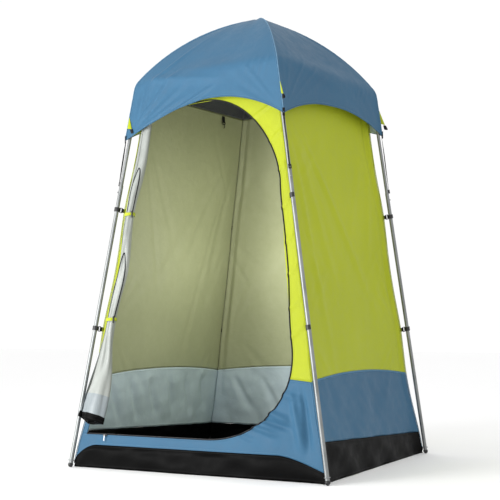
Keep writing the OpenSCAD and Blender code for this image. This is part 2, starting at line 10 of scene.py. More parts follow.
import bpy
import numpy as np
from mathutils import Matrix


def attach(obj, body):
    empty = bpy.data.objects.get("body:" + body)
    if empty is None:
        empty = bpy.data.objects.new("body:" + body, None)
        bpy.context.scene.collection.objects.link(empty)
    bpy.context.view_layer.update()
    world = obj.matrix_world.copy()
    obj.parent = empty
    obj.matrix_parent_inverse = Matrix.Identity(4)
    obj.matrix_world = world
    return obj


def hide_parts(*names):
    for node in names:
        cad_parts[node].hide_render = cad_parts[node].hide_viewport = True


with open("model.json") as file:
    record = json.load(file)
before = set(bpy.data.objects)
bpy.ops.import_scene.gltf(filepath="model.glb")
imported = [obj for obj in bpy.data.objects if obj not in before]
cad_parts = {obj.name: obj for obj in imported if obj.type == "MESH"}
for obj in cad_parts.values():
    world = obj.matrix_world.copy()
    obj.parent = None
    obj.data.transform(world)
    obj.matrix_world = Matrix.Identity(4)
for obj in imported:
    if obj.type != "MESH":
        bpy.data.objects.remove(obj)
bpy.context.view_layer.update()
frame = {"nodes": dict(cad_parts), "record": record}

# ---- driving dimensions, in metres
UP = np.array([0, 0, 1.0])
# walls by number; wall k runs from corner k to corner k + 1, and corner 0 is the front right one
RIGHT, BACK, LEFT, FRONT = range(4)
SIDES = ("right", "back", "left", "front")

# frame: legs from the feet to the roof's square, and the roof rods' peak
FOOT = np.array([0.647, -0.647])
ROOF_HALF = 0.419
ROOF_TURN = -10.0
SHOULDER_Z = 1.836
PEAK_Z = 2.200
ROD_PEAK_Z = 2.184
PEAK_BEND_R = 0.200
PEAK_BEND = math.radians(13.5)

# walls: how far they stand in from the legs, and the heights along them
WALL_INSET = 0.038
WALL_TOP = 1.805
WALL_SPAN = 1.02
WALL_HANG = 0.010
CORNER_GAP = 0.0005
LOW_HOOK_Z = 0.642
HIGH_HOOK_Z = 1.216
CORNER_HELD_Z = (0.03, LOW_HOOK_Z, HIGH_HOOK_Z, WALL_TOP)
CORNER_SAG = 0.009
DRAW_OUT, DRAW_REACH = 0.020, 0.048
DRAW_TOP, DRAW_FADE = 0.46, 0.42
SKIRT_FRONT, SKIRT_SIDE, SKIRT_BACK, SKIRT_CORNER = 0.104, 0.166, 0.112, 0.045
SEAM_END, SEAM_RISE = 0.412, 0.030

# doorway: its bottom and top, and the two curves of its right side
DOOR_Z0, DOOR_Z1 = 0.155, 1.712
DOOR_LOW_Z, DOOR_HIGH_Z = 0.560, 1.300
DOOR_LEFT = 0.026
MARGIN_LOW, MARGIN_HIGH = 0.078, 0.042
DOOR_LOW_A, DOOR_HIGH_A = 0.480, 0.375

# rolled door: its centre's place, its ends, its turns and what shows on it
BUNDLE_IN, BUNDLE_OFF = 0.074, 0.030
BUNDLE_FOOT, BUNDLE_TOP = 0.216, 1.650
ROLL_TURNS = 5.6
TIE_Z = (0.682, 1.186)
POCKETS = (0.52, 0.98)
EDGE_LOOP_TOPS = (0.985, 1.400)
BLUE_TOP = 0.330
HEM_WIDTH = 0.024

# ceiling and fly
NET_PEAK = np.array([0, 0, 2.078])
TIP_Z = (1.587, 1.628, 1.598, 1.562)
HEM_MID_Z = (1.700, 1.700, 1.700, 1.712)
EAVE_Z = SHOULDER_Z + 0.02
FLY_SPAN = 0.84
RIDGE_OFF_TOP = PEAK_Z - ROD_PEAK_Z
RIDGE_OFF_LOW = 0.022
STRAP_END_Z = 1.353


# ---- plan geometry
def turned(p, degrees):
    c, s = math.cos(math.radians(degrees)), math.sin(math.radians(degrees))
    return np.stack([p[..., 0] * c - p[..., 1] * s, p[..., 0] * s + p[..., 1] * c], -1)


HEAD = turned(np.array([ROOF_HALF, -ROOF_HALF]), ROOF_TURN)
LEG_DIR = np.array([HEAD[0] - FOOT[0], HEAD[1] - FOOT[1], SHOULDER_Z])
LEG_DIR = LEG_DIR / np.linalg.norm(LEG_DIR)


def unit(v):
    return v / np.maximum(np.linalg.norm(v, axis=-1, keepdims=True), 1e-12)


def leg(k, z, off=0.0):
    """Points on leg k's axis at heights z, moved away from the tent's axis by off."""
    z = np.asarray(z, float)
    p = FOOT + (HEAD - FOOT) * z[..., None] / SHOULDER_Z
    p = p + unit(p) * np.asarray(off, float)[..., None]
    return np.concatenate([turned(p, 90 * k), z[..., None]], -1)


def scallop(z):
    """How far the wall's corner hangs back between its hooks."""
    sag = np.zeros_like(z)
    for low, high in zip(CORNER_HELD_Z, CORNER_HELD_Z[1:]):
        t = np.clip((z - low) / (high - low), 0, 1)
        sag += CORNER_SAG * arch(t) ** 1.5
    return sag


def drawn_out(s, z):
    """How far the foot ring draws a corner towards its leg; it fades upwards and along the wall."""
    near = np.minimum(s, 1 - s) * FOOT[0] * 2 / DRAW_REACH
    return DRAW_OUT * smooth((DRAW_TOP - z) / DRAW_FADE) * np.exp(-near * near)


def wall(k, s, z, off=0.0):
    """Points on the wall between corners k and k + 1, a share s of the way along it."""
    s, z = np.broadcast_arrays(np.asarray(s, float), np.asarray(z, float))
    inset = off - WALL_INSET - scallop(z) + drawn_out(s, z)
    return between(leg(k, z, inset), leg(k + 1, z, inset), s[..., None])


def wall_shares(n):
    """n places along a wall, from corner to corner."""
    return np.linspace(CORNER_GAP, 1 - CORNER_GAP, n)


def wall_width(k, z):
    return np.linalg.norm(wall(k, 1.0, z) - wall(k, 0.0, z), axis=-1)


# ---- small tools for shapes
def smooth(t):
    t = np.clip(t, 0, 1)
    return t * t * (3 - 2 * t)


def bell(x, at, width):
    return np.exp(-((x - at) / width) ** 2)


def arch(t):
    """0 at t = 0 and t = 1, and 1 between them."""
    return np.sin(math.pi * t)


def between(p, q, t):
    return p * (1 - t) + q * t


def off_ends(s, share):
    """0 at both ends of a span and 1 from that share of it inwards."""
    return smooth(np.minimum(s, 1 - s) / share)


RIPPLE_WAVES = 9


def ripple(u, v, seed, size, amount):
    """A soft random relief: waves of about that size in random directions."""
    rng = np.random.default_rng(seed)
    total = np.zeros_like(u)
    for _ in range(RIPPLE_WAVES):
        a = rng.uniform(0, math.pi)
        length = size * rng.uniform(0.6, 1.7)
        phase = rng.uniform(0, 6.28)
        total += np.sin(2 * math.pi * (u * math.cos(a) + v * math.sin(a)) / length + phase)
    return amount * total / math.sqrt(RIPPLE_WAVES)


def fold(u, v, start, end, height, width, taper=0.3, grow=0.0):
    """A ridge from start to end with a shallow dip on both sides; it widens along its length by grow."""
    a, b = np.array(start, float), np.array(end, float)
    length = np.linalg.norm(b - a)
    d = (b - a) / length
    t = ((u - a[0]) * d[0] + (v - a[1]) * d[1]) / length
    q = ((v - a[1]) * d[0] - (u - a[0]) * d[1]) / (width * (1 + grow * np.clip(t, 0, 1)))
    ends = smooth(t / taper) * smooth((1 - t) / taper)
    return height * ends * (1 - 0.9 * q * q) * np.exp(-q * q)


def fan(u, v, centre, angles, reach, height, width, seed, start=0.12):
    """Folds that spread from one point, as cloth does from a corner that pulls it."""
    rng = np.random.default_rng(seed)
    total = np.zeros_like(u)
    for a in angles:
        a = math.radians(a + rng.uniform(-3, 3))
        d = np.array([math.cos(a), math.sin(a)])
        r = reach * rng.uniform(0.7, 1.1)
        c = np.array(centre)
        total += fold(u, v, c + d * r * start, c + d * r, height * rng.uniform(0.5, 1.1),
                      width * rng.uniform(0.7, 1.3), 0.35, 1.2)
    return total


def grid_normals(p):
    return unit(np.cross(np.gradient(p, axis=1), np.gradient(p, axis=0)))


def into_scene(name, data):
    obj = bpy.data.objects.new(name, data)
    bpy.context.scene.collection.objects.link(obj)
    return obj


def put(name, verts, faces, mats, face_mats=None, smooth_faces=None, uv=None, attrs=None):
    """A mesh object in the scene, in the frame's own coordinates."""
    mesh = bpy.data.meshes.new(name)
    mesh.from_pydata([tuple(v) for v in np.asarray(verts, float).tolist()], [], faces)
    for m in mats:
        mesh.materials.append(m)
    if face_mats is not None:
        mesh.polygons.foreach_set("material_index", np.asarray(face_mats, np.int32))
    flags = np.ones(len(faces), bool) if smooth_faces is None else smooth_faces
    mesh.polygons.foreach_set("use_smooth", flags)
    if uv is not None:
        layer = mesh.uv_layers.new(name="cut")
        loops = np.zeros(len(mesh.loops), np.int32)
        mesh.loops.foreach_get("vertex_index", loops)
        layer.data.foreach_set("uv", uv.astype(np.float32)[loops].ravel())
    for key, values in (attrs or {}).items():
        layer = mesh.attributes.new(key, "FLOAT", "POINT")
        layer.data.foreach_set("value", values.astype(np.float32))
    mesh.update()
    return into_scene(name, mesh)


def sheet_arrays(p, t):
    """Two faces and a rim for a grid of points: (verts, faces, each face's kind: 0, 1 or 2)."""
    rows, cols = p.shape[:2]
    verts = np.concatenate([p.reshape(-1, 3), (p - grid_normals(p) * t).reshape(-1, 3)])
    o = np.arange(rows * cols).reshape(rows, cols)
    i = o + rows * cols
    outer = np.stack([o[:-1, :-1], o[:-1, 1:], o[1:, 1:], o[1:, :-1]], -1).reshape(-1, 4)
    inner = np.stack([i[:-1, :-1], i[1:, :-1], i[1:, 1:], i[:-1, 1:]], -1).reshape(-1, 4)
    rim = np.concatenate([np.stack([o[0, 1:], o[0, :-1], i[0, :-1], i[0, 1:]], -1),
                          np.stack([o[-1, :-1], o[-1, 1:], i[-1, 1:], i[-1, :-1]], -1),
                          np.stack([o[:-1, 0], o[1:, 0], i[1:, 0], i[:-1, 0]], -1),
                          np.stack([o[1:, -1], o[:-1, -1], i[:-1, -1], i[1:, -1]], -1)])
    kind = np.repeat([0, 1, 2], [len(outer), len(inner), len(rim)])
    return verts, np.concatenate([outer, inner, rim]), kind


def distances(p, axis=0):
    """Distance run from the first point, along a path or along one direction of a grid."""
    steps = np.linalg.norm(np.diff(p, axis=axis), axis=-1)
    start = np.zeros_like(np.take(steps, [0], axis))
    return np.concatenate([start, np.cumsum(steps, axis)], axis)


def cloth(name, p, outer, inner, t=0.0012, edge=None, along=None, band=None):
    """A cloth sheet on a grid of points. edge is each point's distance from the nearest hem and along
    the distance along it, for the stitching. band is (row, outer, inner): the two materials of the
    rows below that one."""
    verts, faces, kind = sheet_arrays(p, t)
    du, dv = distances(p, 1), distances(p, 0)
    if edge is None:
        side = np.minimum(du, du[:, -1:] - du)
        end = np.minimum(dv, dv[-1:] - dv)
        edge = np.minimum(side, end)
        along = np.where(side < end, dv, du)
    uv = np.tile(np.stack([du, dv], -1).reshape(-1, 2), (2, 1))
    attrs = {"edge": np.tile(edge.ravel(), 2), "along": np.tile(along.ravel(), 2)}
    mats = [outer, inner]
    mat = (kind == 1).astype(int)
    if band is not None:
        row, outer2, inner2 = band
        mats += [outer2, inner2]
        low = np.repeat(np.arange(p.shape[0] - 1) < row, p.shape[1] - 1)
        mat += 2 * np.concatenate([low, low, kind[kind == 2] == 2])
    return put(name, verts, faces.tolist(), mats, mat, kind != 2, uv, attrs)


def frames_along(path):
    """Two cross directions that turn as little as possible along a path."""
    tangent = unit(np.gradient(path, axis=0))
    side = np.zeros_like(path)
    start = UP if abs(tangent[0][2]) < 0.9 else np.array([1.0, 0, 0])
    side[0] = unit(np.cross(tangent[0], start))
    for i in range(1, len(path)):
        v = side[i - 1] - tangent[i] * (side[i - 1] @ tangent[i])
        side[i] = unit(v)
    return side, np.cross(tangent, side)


def tube_arrays(path, radius, sides=8):
    """A round tube along a path, closed at both ends."""
    a, b = frames_along(path)
    angle = np.linspace(0, 2 * math.pi, sides, endpoint=False)
    r = np.broadcast_to(np.asarray(radius, float), (len(path),))[:, None, None]
    ring = path[:, None] + r * (a[:, None] * np.cos(angle)[:, None] + b[:, None] * np.sin(angle)[:, None])
    o = np.arange(len(path) * sides).reshape(-1, sides)
    nxt = np.roll(o, -1, 1)
    faces = np.stack([o[:-1], nxt[:-1], nxt[1:], o[1:]], -1).reshape(-1, 4).tolist()
    faces += [o[0][::-1].tolist(), o[-1].tolist()]
    return ring.reshape(-1, 3), faces


STRAP_PROFILE = ((-0.5, 0.25), (-0.46, 0.5), (0.46, 0.5), (0.5, 0.25),
                 (0.5, -0.25), (0.46, -0.5), (-0.46, -0.5), (-0.5, -0.25))


def strap_arrays(path, across, width, t):
    """A flat strap with softly thinned edges: its cross-section lies along across at each point."""
    across = unit(np.broadcast_to(np.asarray(across, float), path.shape))
    tangent = unit(np.gradient(path, axis=0))
    normal = unit(np.cross(across, tangent))
    rings = np.stack([path + across * a * width + normal * b * t for a, b in STRAP_PROFILE], 1)
    o = np.arange(rings.shape[0] * rings.shape[1]).reshape(rings.shape[:2])
    nxt = np.roll(o, -1, 1)
    faces = np.stack([o[:-1], o[1:], nxt[1:], nxt[:-1]], -1).reshape(-1, 4).tolist()
    faces += [o[0].tolist(), o[-1][::-1].tolist()]
    return rings.reshape(-1, 3), faces


def resample(path, step=None, count=None):
    """Evenly spaced points along a path: one every step, or that many."""
    d = distances(path)
    at = np.linspace(0, d[-1], count or max(3, int(d[-1] / step) + 1))
    return np.stack([np.interp(at, d, path[:, i]) for i in range(3)], 1)


def rounded(line, times):
    """The line with its corners rounded off: each point moves towards its neighbours, over and over."""
    line = line.copy()
    for _ in range(times):
        line[1:-1] = 0.5 * line[1:-1] + 0.25 * (line[:-2] + line[2:])
    return line


# ---- materials
class Nodes:
    """Short calls for building one material's node tree."""

    def __init__(self, name):
        self.mat = bpy.data.materials.new(name)
        self.mat.use_nodes = True
        self.tree = self.mat.node_tree
        self.shader = self.tree.nodes["Principled BSDF"]

    def feed(self, node, inputs):
        """Links a socket to each of the node's inputs, or writes a number, tuple or colour into it."""
        for key, x in inputs.items():
            socket = node.inputs[key.replace("_", " ") if isinstance(key, str) else key]
            if isinstance(x, bpy.types.NodeSocket):
                self.tree.links.new(x, socket)
            else:
                socket.default_value = (*x, 1.0) if socket.type == "RGBA" else x
        return node

    def add(self, kind, **inputs):
        return self.feed(self.tree.nodes.new(kind), inputs)

    def place(self):
        return self.add("ShaderNodeTexCoord").outputs["Object"]

    def cut(self):
        node = self.add("ShaderNodeUVMap")
        node.uv_map = "cut"
        return node.outputs["UV"]

    def attribute(self, name):
        node = self.add("ShaderNodeAttribute")
        node.attribute_name = name
        return node.outputs["Fac"]

    def math(self, op, a, b=0.0):
        node = self.add("ShaderNodeMath")
        node.operation = op
        return self.feed(node, {0: a, 1: b}).outputs[0]

    def ramp(self, value, low, high, to_low=0.0, to_high=1.0):
        return self.add("ShaderNodeMapRange", Value=value, From_Min=low, From_Max=high,
                        To_Min=to_low, To_Max=to_high).outputs["Result"]

    def mix(self, factor, a, b):
        """A colour between a and b; sockets 6, 7 and 2 are the node's colour inputs and output."""
        node = self.add("ShaderNodeMix")
        node.data_type = "RGBA"
        return self.feed(node, {0: factor, 6: a, 7: b}).outputs[2]

    def noise(self, coords, scale, detail=3.0, rough=0.5, distort=0.0):
        return self.add("ShaderNodeTexNoise", Vector=coords, Scale=scale, Detail=detail,
                        Roughness=rough, Distortion=distort).outputs["Fac"]

    def wave(self, coords, axis, size):
        """Bands of that size in metres."""
        node = self.add("ShaderNodeTexWave", Vector=coords, Scale=WAVE_PERIOD / size)
        node.bands_direction = axis
        return node.outputs["Fac"]

    def bump(self, height, strength, distance, **before):
        """A relief on top of the one before it, which is given as Normal."""
        return self.add("ShaderNodeBump", Height=height, Strength=strength, Distance=distance,
                        **before).outputs["Normal"]

    def surface(self, colour, roughness, **inputs):
        """The material, with these on its shader."""
        self.feed(self.shader, dict(inputs, Base_Color=colour, Roughness=roughness))
        return self.mat


WAVE_PERIOD = 0.314  # one band of a wave texture at scale 1
# the weave's pitch, a hem's width, and the thread and pitch of the stitching
THREAD_PITCH = 0.0009
HEM = 0.010
THREAD_WIDTH = 0.0014
STITCH_PITCH = 0.0042


def cloth_material(name, colour, shade, rough, sheen=0.02, crease=0.3, stitch=None, spec=0.35):
    """Thin woven cloth: thread-by-thread weave, slow colour drift, fine creases, hem and stitching."""
    m = Nodes(name)
    cut, place = m.cut(), m.place()
    weave = m.math("MULTIPLY", m.wave(cut, "X", THREAD_PITCH), m.wave(cut, "Y", THREAD_PITCH))
    mottle = m.noise(place, 26.0, 5.0, 0.6)
    tone = m.math("ADD", m.math("MULTIPLY", m.noise(place, 2.2), 0.6), m.math("MULTIPLY", mottle, 0.4))
    base = m.mix(m.ramp(tone, 0.32, 0.68), shade, colour)
    base = m.mix(m.ramp(weave, 0.0, 1.0, 0.10, 0.0), base, shade)
    edge = m.attribute("edge")
    from_seam = m.math("ABSOLUTE", m.math("SUBTRACT", edge, HEM * 0.75))
    seam = m.math("LESS_THAN", from_seam, THREAD_WIDTH / 2)
    turns = m.math("MULTIPLY", m.attribute("along"), 2 * math.pi / STITCH_PITCH)
    thread_mask = m.math("MULTIPLY", seam, m.math("GREATER_THAN", m.math("SINE", turns), -0.45))
    base = m.mix(m.math("MULTIPLY", thread_mask, 0.75), base, stitch or shade)
    turned_hem = m.ramp(edge, HEM, HEM * 1.15, 1.0, 0.0)
    base = m.mix(m.math("MULTIPLY", turned_hem, 0.16), base, shade)
    normal = m.bump(m.noise(place, 17.0, 6.0, 0.62, 0.9), crease, 0.006)
    normal = m.bump(turned_hem, 0.5, 0.0012, Normal=normal)
    normal = m.bump(thread_mask, 0.6, 0.0008, Normal=normal)
    normal = m.bump(weave, 0.25, 0.00015, Normal=normal)
    return m.surface(base, m.ramp(mottle, 0.3, 0.7, rough - 0.07, rough + 0.08), Normal=normal,
                     Sheen_Weight=sheen, Sheen_Roughness=0.45, Specular_IOR_Level=spec)


def webbing_material(name, colour, shade):
    """Woven tape: ribs across it, a slanting weave and a little fuzz."""
    m = Nodes(name)
    place = m.place()
    rib = m.math("MAXIMUM", m.wave(place, "Z", 0.0022), m.wave(place, "DIAGONAL", 0.0034))
    fuzz = m.noise(place, 420.0)
    base = m.mix(m.ramp(m.math("ADD", rib, fuzz), 0.5, 1.5), shade, colour)
    return m.surface(base, m.ramp(fuzz, 0.3, 0.7, 0.72, 0.9), Normal=m.bump(rib, 0.5, 0.0004),
                     Sheen_Weight=0.05, Sheen_Roughness=0.5, Specular_IOR_Level=0.12)


def metal_material(name, colour, shade, rough):
    """Plated tube: fine drawn lines along it, cloudy plating and a few handling marks."""
    m = Nodes(name)
    place = m.place()
    stretched = m.add("ShaderNodeMapping", Vector=place, Scale=(1.0, 1.0, 0.03)).outputs["Vector"]
    lines = m.noise(stretched, 900.0)
    clouds = m.noise(place, 9.0, 4.0, 0.6)
    marks = m.ramp(m.noise(place, 60.0, 5.0, 0.7, 1.0), 0.60, 0.72)
    base = m.mix(m.ramp(clouds, 0.35, 0.65), shade, colour)
    base = m.mix(m.math("MULTIPLY", marks, 0.35), base, shade)
    level = m.ramp(clouds, 0.3, 0.7, rough - 0.06, rough + 0.08)
    level = m.math("ADD", level, m.math("MULTIPLY", marks, 0.12))
    return m.surface(base, level, Normal=m.bump(lines, 0.25, 0.00025), Metallic=0.85)


def plastic_material(name, colour, shade, rough=0.45, grain=900.0):
    """Moulded plastic with a fine spark-eroded grain and paler scuffs."""
    m = Nodes(name)
    place = m.place()
    fine = m.noise(place, grain, 2.0)
    scuff = m.ramp(m.noise(place, 130.0, 5.0, 0.7, 0.6), 0.56, 0.74)
    base = m.mix(m.ramp(fine, 0.3, 0.7), colour, shade)
    base = m.mix(m.math("MULTIPLY", scuff, 0.35), base, tuple(min(1.0, c * 3 + 0.03) for c in colour))
    return m.surface(base, m.ramp(scuff, 0.0, 1.0, rough, rough + 0.2), Normal=m.bump(fine, 0.2, 0.0003))


def net_material(name, colour, shade):
    """Fine mosquito net: a knitted grid of threads with half clear holes."""
    m = Nodes(name)
    cut, place = m.cut(), m.place()
    across, down = (m.ramp(m.wave(cut, axis, 0.0026), 0.35, 0.6) for axis in "XY")
    threads = m.math("MAXIMUM", across, down)
    base = m.mix(m.noise(place, 40.0), shade, colour)
    return m.surface(base, m.ramp(m.noise(place, 90.0), 0.3, 0.7, 0.7, 0.85), Sheen_Weight=0.2,
                     Normal=m.bump(threads, 0.5, 0.0004), Alpha=m.ramp(threads, 0.0, 1.0, 0.25, 1.0))


BLUE = cloth_material("blue_outer", (0.042, 0.124, 0.212), (0.034, 0.104, 0.184), 0.54,
                      stitch=(0.13, 0.25, 0.36), spec=0.16)
BLUE_IN = cloth_material("blue_inner", (0.60, 0.71, 0.75), (0.49, 0.60, 0.64), 0.46, 0.05, 0.45, spec=0.22)
GREEN = cloth_material("green_outer", (0.375, 0.425, 0.018), (0.325, 0.375, 0.012), 0.54,
                       stitch=(0.50, 0.56, 0.10), spec=0.16)
GREEN_IN = cloth_material("green_inner", (0.43, 0.45, 0.27), (0.365, 0.385, 0.22), 0.46, 0.05, 0.35,
                          spec=0.22)
SILVER = cloth_material("silver_coating", (0.33, 0.348, 0.328), (0.255, 0.272, 0.252), 0.36)
SILVER_BLUE = cloth_material("silver_blue_coating", (0.255, 0.285, 0.297), (0.185, 0.215, 0.228), 0.36)
FLOOR_BLACK = cloth_material("floor_black", (0.0035, 0.0035, 0.0036), (0.0022, 0.0022, 0.0022), 0.46, 0.0,
                             crease=0.14, spec=0.035, stitch=(0.03, 0.03, 0.03))
PIPING = cloth_material("piping_blue", (0.085, 0.19, 0.30), (0.065, 0.16, 0.26), 0.6, spec=0.1)
# the ridge piping is the blue piping made paler: a painted highlight along the fly's ridges
RIDGE_PIPING_PAINTED_HIGHLIGHT = cloth_material("ridge_piping_painted_highlight", (0.15, 0.27, 0.38), (0.11, 0.21, 0.32), 0.6, spec=0.1)
PIPING_GREEN = cloth_material("piping_green", (0.37, 0.42, 0.025), (0.32, 0.37, 0.018), 0.6, spec=0.1)
WEBBING = webbing_material("black_webbing", (0.016, 0.016, 0.017), (0.007, 0.007, 0.008))
ZIP_TAPE = webbing_material("zip_tape", (0.012, 0.013, 0.016), (0.006, 0.006, 0.008))
GREEN_TAPE = webbing_material("green_tape", (0.43, 0.49, 0.04), (0.33, 0.38, 0.025))
CORD = webbing_material("elastic_cord", (0.70, 0.70, 0.68), (0.45, 0.45, 0.44))
STEEL = metal_material("plated_steel", (0.285, 0.296, 0.296), (0.20, 0.21, 0.208), 0.44)
BRIGHT = metal_material("bright_steel", (0.34, 0.35, 0.36), (0.24, 0.25, 0.26), 0.34)
BLACK = plastic_material("black_plastic", (0.012, 0.012, 0.013), (0.006, 0.006, 0.007))
COIL = plastic_material("zip_coil", (0.012, 0.013, 0.016), (0.006, 0.006, 0.008), 0.36)
FIBRE = plastic_material("fibreglass", (0.03, 0.03, 0.034), (0.016, 0.016, 0.018), 0.28, 300.0)
NET = net_material("black_net", (0.02, 0.024, 0.036), (0.01, 0.012, 0.02))

BY_SLOT = {"tube_steel": STEEL, "bright_steel": BRIGHT, "fibreglass": FIBRE, "black_plastic": BLACK,
           "elastic_cord": CORD, "black_webbing": WEBBING}


def dress_cad_nodes():
    """The hard CAD parts keep their shapes and get worked materials."""
    slots = {row["node"]: row["material_slot"] for row in frame["record"]["subparts"]}
    for name, obj in frame["nodes"].items():
        material = BY_SLOT.get(slots[name])
        if material is not None:
            obj.data.materials.clear()
            obj.data.materials.append(material)
        if material in (STEEL, FIBRE, BRIGHT, BLACK):
            edge = obj.modifiers.new("soft_edges", "BEVEL")
            edge.width = 0.0004
            edge.segments = 2
            edge.limit_method = "ANGLE"
            edge.angle_limit = math.radians(50)


def settle(obj, slot, *nodes, body="frame"):
    """obj rides on a body and stands for CAD nodes, which are hidden; slot is not used."""
    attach(obj, body)
    if nodes:
        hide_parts(*nodes)


def trim(name, parts, finish, slot, *nodes, body="frame"):
    """Several (verts, faces) as one piece of that finish."""
    faces, base = [], 0
    for part_verts, part_faces in parts:
        faces += [[base + i for i in face] for face in part_faces]
        base += len(part_verts)
    verts = np.concatenate([part_verts for part_verts, _ in parts])
    settle(put(name, verts, faces, [finish]), slot, *nodes, body=body)


# ---- body tent: curves on the walls
def skirt_top(k, s):
    """Top edge of the black skirt, drawn down to the foot at the front corners."""
    if k == FRONT:
        left = 1 - np.clip(1 - s / 0.07, 0, 1) ** 2.5
        right = 1 - np.clip(1 - (1 - s) / 0.17, 0, 1) ** 1.6
        return SKIRT_CORNER + (SKIRT_FRONT - SKIRT_CORNER) * np.minimum(left, right)
    if k == BACK:
        return SKIRT_BACK * np.ones_like(s)
    from_front = s if k == RIGHT else 1 - s
    level = SKIRT_SIDE + (SKIRT_BACK - SKIRT_SIDE) * from_front
    return level + (SKIRT_CORNER - level) * np.clip(1 - from_front / 0.035, 0, 1) ** 2.2


def seam_z(s):
    """Seam between the blue and the green, a shallow arch."""
    return SEAM_END + SEAM_RISE * (1 - (2 * s - 1) ** 2)


def wall_relief(k, x, z, width):
    """How far the cloth stands out of its flat wall, in metres."""
    share = x / width
    hang = arch(np.clip(share, 0, 1)) * arch(np.clip((z - 0.1) / 1.7, 0, 1))
    waves = ripple(x, z * 0.45, 11 + k, 0.55, 0.0022) + ripple(x, z * 0.6, 31 + k, 0.17, 0.0008)
    relief = waves * off_ends(share, 0.06) - WALL_HANG * hang
    # short folds from the four hooks, then long ones from the two top corners
    for i, (hook, reach) in enumerate(((HIGH_HOOK_Z, 0.60), (LOW_HOOK_Z, 0.50))):
        seed = k * 9 + i
        relief += fan(x, z, (0.0, hook), (-64, -48, 42, 60), reach, 0.0030, 0.017, 50 + seed)
        relief += fan(x, z, (WALL_SPAN, hook), (242, 226, 138, 120), reach, 0.0030, 0.017, 70 + seed)
    relief += fan(x, z, (0.01, 1.72), (-78, -69, -61, -52), 1.45, 0.0062, 0.021, 90 + k, 0.06)
    relief += fan(x, z, (0.82, 1.74), (262, 250), 1.0, 0.0034, 0.020, 110 + k)
    # the seam allowance that stands up beside the far corner
    ridge_up = bell(width - x, 0.030, 0.012) - 0.7 * bell(width - x, 0.058, 0.016)
    return relief + 0.0060 * ridge_up * smooth((z - 0.2) / 0.2) * (1 + 0.35 * np.sin(9 * z + k))


def on_wall(k, s, z, relief):
    p = wall(k, s, z)
    return p + grid_normals(p) * relief[..., None]


def lower_slack(k, s, x, z):
    """Soft folds of a blue panel, which fade at the corners and at the seam."""
    depth = 0.0030 if k == RIGHT else 0.0042
    slack = ripple(x + 0.3 * z, z * 0.6, 5 + k, 0.22, depth) + 0.4 * ripple(x, z, 305 + k, 0.10, depth)
    for i in range(0 if k == RIGHT else 6):
        top = 0.18 + 0.17 * i
        slack += fold(x, z, (top, 0.41), (top - 0.09, 0.16), 2.2 * depth, 0.022, 0.3, 0.6)
    return slack * off_ends(s, 0.05) * smooth((seam_z(s) - z) / 0.05)


def side_wall(k):
    """Upper green and lower blue panel of a closed wall."""
    s = wall_shares(116)[None, :]
    seam = seam_z(s)
    for part, low, high, rows, height, outer, inner, slot in (
            ("upper", seam, WALL_TOP, 120, 1.37, GREEN, GREEN_IN, "green_cloth"),
            ("lower", skirt_top(k, s), seam, 34, 0.34, BLUE, BLUE_IN, "blue_cloth")):
        z = low + (high - low) * np.linspace(0, 1, rows)[:, None]
        ss = np.broadcast_to(s, z.shape)
        width = wall_width(k, z)
        relief = wall_relief(k, ss * width, z, width)
        if part == "lower":
            relief += lower_slack(k, ss, ss * width, z)
        obj = cloth(f"{SIDES[k]}_wall_{part}_cloth", on_wall(k, ss, z, relief), outer, inner)
        settle(obj, slot, f"{SIDES[k]}_wall_{part}")


def quarter(t):
    """How far a quarter circle has come in: 0 at t = 0 and 1 at t = 1."""
    return 1 - np.sqrt(np.clip(1 - t ** 2, 0, 1))


def door_margin(z):
    """Width of the front wall to the right of the doorway."""
    low = MARGIN_LOW + DOOR_LOW_A * quarter((DOOR_LOW_Z - z) / (DOOR_LOW_Z - DOOR_Z0))
    high = MARGIN_HIGH + DOOR_HIGH_A * quarter((z - DOOR_HIGH_Z) / (DOOR_Z1 - DOOR_HIGH_Z))
    t = (z - DOOR_LOW_Z) / (DOOR_HIGH_Z - DOOR_LOW_Z)
    middle = MARGIN_LOW + (MARGIN_HIGH - MARGIN_LOW) * t
    return np.where(z < DOOR_LOW_Z, low, np.where(z > DOOR_HIGH_Z, high, middle))


def door_path(step=0.006):
    """The doorway's zipped edge in wall coordinates (distance from the left corner, height):
    along the bottom, up the right side and back over the top."""
    turn = np.radians(np.arange(0, 90.5, 2.0))
    low = DOOR_LOW_Z - (DOOR_LOW_Z - DOOR_Z0) * np.cos(turn)
    high = DOOR_HIGH_Z + (DOOR_Z1 - DOOR_HIGH_Z) * np.sin(turn)
    z = np.concatenate([[DOOR_Z0], low, high, [DOOR_Z1]])
    x = wall_width(FRONT, z) - door_margin(z)
    x[[0, -1]] = DOOR_LEFT
    return resample(np.stack([x, z, np.zeros_like(x)], 1), step)[:, :2]


def door_band(path, grow):
    """The path moved outward, away from the opening."""
    d = unit(np.gradient(path, axis=0))
    return path + grow * np.stack([d[:, 1], -d[:, 0]], 1)


# start, end, height and width of the puckers from the lower right of the zip towards the foot
PUCKERS = (((0.895, 0.300), (1.080, 0.235), 0.0150, 0.0110),
           ((0.865, 0.262), (1.095, 0.205), -0.0120, 0.0100),
           ((0.830, 0.232), (1.040, 0.178), 0.0110, 0.0100),
           ((0.945, 0.375), (1.110, 0.330), 0.0080, 0.0110),
           ((0.770, 0.200), (0.930, 0.150), -0.0040, 0.0090),
           ((1.020, 0.395), (1.165, 0.080), 0.0130, 0.0150),
           ((1.075, 0.400), (1.185, 0.100), -0.0140, 0.0110))


PULLS_Z = (0.60, 0.72, 0.86, 1.00, 1.16, 1.33, 1.47, 1.60)


